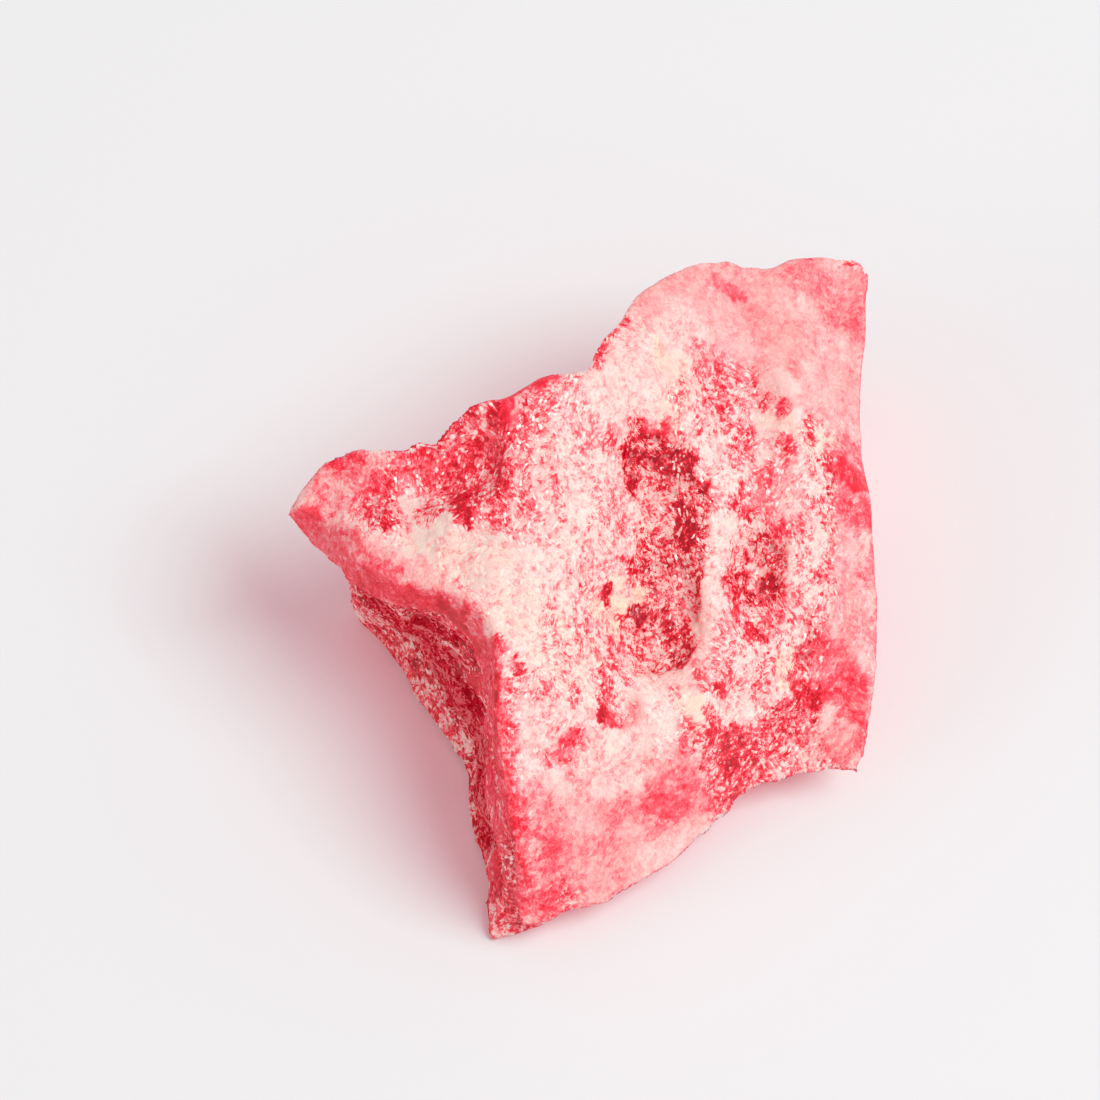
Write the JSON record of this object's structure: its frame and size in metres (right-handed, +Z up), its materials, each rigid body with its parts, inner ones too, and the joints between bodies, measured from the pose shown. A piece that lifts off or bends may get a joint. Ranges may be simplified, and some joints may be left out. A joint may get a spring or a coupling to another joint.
{
  "type": "rough rhodonite",
  "caption": "Rough broken chip of pink rhodonite: a sloping crystalline top with a sunken middle, an undercut side and point, and a flat cleavage face to rest on.",
  "frame": {"origin": "under the middle of the chip's bounding box, on the plane it rests on", "axes": "+Z up and away from the flat cleavage face, across the chip's shortest extent; +Y along its longest extent, from the thin front edge to the back; +X to the right, away from the undercut side and its point"},
  "size_m": [0.029, 0.0338, 0.0142],
  "materials": {
    "rhodonite": "fresh break of massive rhodonite: translucent rose red under frosted white, pink and cream grains, with a glassy to waxy sparkle"
  },
  "bodies": {
    "root": {"rhodonite_chip": "rhodonite"}
  },
  "joints": []
}
